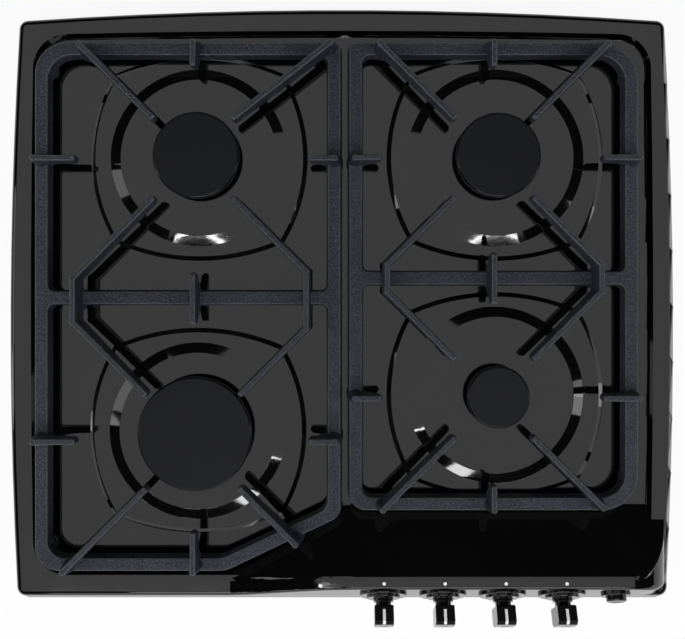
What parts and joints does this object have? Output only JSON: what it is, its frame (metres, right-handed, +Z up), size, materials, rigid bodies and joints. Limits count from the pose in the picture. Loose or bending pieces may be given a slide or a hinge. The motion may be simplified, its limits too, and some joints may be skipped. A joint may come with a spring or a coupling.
{
  "type": "gas cooktop",
  "caption": "Built-in gas cooktop: pressed enamel top with a raised control console, cast pan supports, capped burners, bar knobs and an ignition button over a sheet tray.",
  "frame": {"origin": "middle of the whole object's footprint, on the underside of the tray, where it would stand on a bench", "axes": "+Z up, +X to the user's right, +Y to the rear, away from the user"},
  "size_m": [0.587, 0.5406, 0.0861],
  "materials": {
    "black_enamel": "gloss vitreous enamel",
    "cap_enamel": "satin enamel",
    "cast_iron_enamel": "matt enamelled cast iron",
    "galvanised": "galvanised sheet",
    "foam": "closed-cell foam",
    "rubber": "rubber pads",
    "steel": "zinc-plated",
    "brass": "turned brass",
    "aluminium": "die-cast aluminium",
    "knob_plastic": "moulded black plastic",
    "dark_plastic": "moulded plastic",
    "ceramic": "glazed ceramic",
    "lead_sleeve": "silicone sleeve"
  },
  "bodies": {
    "cooktop": {"hob_top": "black_enamel", "underbox": "galvanised", "worktop_seal": "foam", "worktop_clamps": "galvanised", "clamp_screws": "steel", "case_nuts": "steel", "cable_gland": "dark_plastic", "terminal_block": "dark_plastic", "burner_cup_rear_left": "aluminium", "burner_cup_rear_right": "aluminium", "burner_cup_front_left": "aluminium", "burner_cup_front_right": "aluminium", "injectors": "brass", "spark_electrodes": "ceramic", "burner_rails": "galvanised", "tap_body_1": "brass", "tap_body_2": "brass", "tap_body_3": "brass", "tap_body_4": "brass", "knob_bezels": "knob_plastic", "button_bezel": "knob_plastic", "button_spring": "steel", "ignition_switch": "dark_plastic", "gas_tubes": "aluminium", "gas_rail": "steel", "supply_pipe": "steel", "inlet_elbow": "brass", "spark_generator": "dark_plastic", "ignition_leads": "lead_sleeve"},
    "left_support": {"grate_left": "cast_iron_enamel", "grate_left_feet": "rubber"},
    "right_support": {"grate_right": "cast_iron_enamel", "grate_right_feet": "rubber"},
    "head_rear_left": {"burner_head_rear_left": "aluminium"},
    "cap_rear_left": {"burner_cap_rear_left": "cap_enamel"},
    "head_rear_right": {"burner_head_rear_right": "aluminium"},
    "cap_rear_right": {"burner_cap_rear_right": "cap_enamel"},
    "head_front_left": {"burner_head_front_left": "aluminium"},
    "cap_front_left": {"burner_cap_front_left": "cap_enamel"},
    "head_front_right": {"burner_head_front_right": "aluminium"},
    "cap_front_right": {"burner_cap_front_right": "cap_enamel"},
    "tap_1": {"tap_plug_1": "brass"},
    "knob_body_1": {"knob_1": "knob_plastic", "tap_spindle_1": "brass", "tap_spring_1": "steel"},
    "tap_2": {"tap_plug_2": "brass"},
    "knob_body_2": {"knob_2": "knob_plastic", "tap_spindle_2": "brass", "tap_spring_2": "steel"},
    "tap_3": {"tap_plug_3": "brass"},
    "knob_body_3": {"knob_3": "knob_plastic", "tap_spindle_3": "brass", "tap_spring_3": "steel"},
    "tap_4": {"tap_plug_4": "brass"},
    "knob_body_4": {"knob_4": "knob_plastic", "tap_spindle_4": "brass", "tap_spring_4": "steel"},
    "button_body": {"ignition_button": "knob_plastic"}
  },
  "joints": [
    {"name": "left_support_lift", "type": "slide", "parent": "cooktop", "child": "left_support", "axis": [0, 0, 1], "range_m": [0, 0.08]},
    {"name": "right_support_lift", "type": "slide", "parent": "cooktop", "child": "right_support", "axis": [0, 0, 1], "range_m": [0, 0.08]},
    {"name": "head_lift_rear_left", "type": "slide", "parent": "cooktop", "child": "head_rear_left", "axis": [0, 0, 1], "range_m": [0, 0.04]},
    {"name": "cap_lift_rear_left", "type": "slide", "parent": "head_rear_left", "child": "cap_rear_left", "axis": [0, 0, 1], "range_m": [0, 0.02]},
    {"name": "head_lift_rear_right", "type": "slide", "parent": "cooktop", "child": "head_rear_right", "axis": [0, 0, 1], "range_m": [0, 0.04]},
    {"name": "cap_lift_rear_right", "type": "slide", "parent": "head_rear_right", "child": "cap_rear_right", "axis": [0, 0, 1], "range_m": [0, 0.02]},
    {"name": "head_lift_front_left", "type": "slide", "parent": "cooktop", "child": "head_front_left", "axis": [0, 0, 1], "range_m": [0, 0.04]},
    {"name": "cap_lift_front_left", "type": "slide", "parent": "head_front_left", "child": "cap_front_left", "axis": [0, 0, 1], "range_m": [0, 0.02]},
    {"name": "head_lift_front_right", "type": "slide", "parent": "cooktop", "child": "head_front_right", "axis": [0, 0, 1], "range_m": [0, 0.04]},
    {"name": "cap_lift_front_right", "type": "slide", "parent": "head_front_right", "child": "cap_front_right", "axis": [0, 0, 1], "range_m": [0, 0.02]},
    {"name": "knob_turn_1", "type": "hinge", "parent": "cooktop", "child": "tap_1", "pos_m": [0.036, -0.24267, 0.06], "axis": [0, -0.8763, 0.4818], "range_deg": [0, 210]},
    {"name": "knob_press_1", "type": "slide", "parent": "tap_1", "child": "knob_body_1", "axis": [0, 0.8763, -0.4818], "range_m": [0, 0.0035], "stiffness_N_per_m": 1500, "springref_m": -0.004, "deforming": ["tap_spring_1"]},
    {"name": "knob_turn_2", "type": "hinge", "parent": "cooktop", "child": "tap_2", "pos_m": [0.088, -0.24267, 0.06], "axis": [0, -0.8763, 0.4818], "range_deg": [0, 210]},
    {"name": "knob_press_2", "type": "slide", "parent": "tap_2", "child": "knob_body_2", "axis": [0, 0.8763, -0.4818], "range_m": [0, 0.0035], "stiffness_N_per_m": 1500, "springref_m": -0.004, "deforming": ["tap_spring_2"]},
    {"name": "knob_turn_3", "type": "hinge", "parent": "cooktop", "child": "tap_3", "pos_m": [0.14, -0.24267, 0.06], "axis": [0, -0.8763, 0.4818], "range_deg": [0, 210]},
    {"name": "knob_press_3", "type": "slide", "parent": "tap_3", "child": "knob_body_3", "axis": [0, 0.8763, -0.4818], "range_m": [0, 0.0035], "stiffness_N_per_m": 1500, "springref_m": -0.004, "deforming": ["tap_spring_3"]},
    {"name": "knob_turn_4", "type": "hinge", "parent": "cooktop", "child": "tap_4", "pos_m": [0.192, -0.24267, 0.06], "axis": [0, -0.8763, 0.4818], "range_deg": [0, 210]},
    {"name": "knob_press_4", "type": "slide", "parent": "tap_4", "child": "knob_body_4", "axis": [0, 0.8763, -0.4818], "range_m": [0, 0.0035], "stiffness_N_per_m": 1500, "springref_m": -0.004, "deforming": ["tap_spring_4"]},
    {"name": "button_press", "type": "slide", "parent": "cooktop", "child": "button_body", "axis": [0, 0.8763, -0.4818], "range_m": [0, 0.003], "stiffness_N_per_m": 1200, "springref_m": -0.002, "deforming": ["button_spring"]}
  ]
}
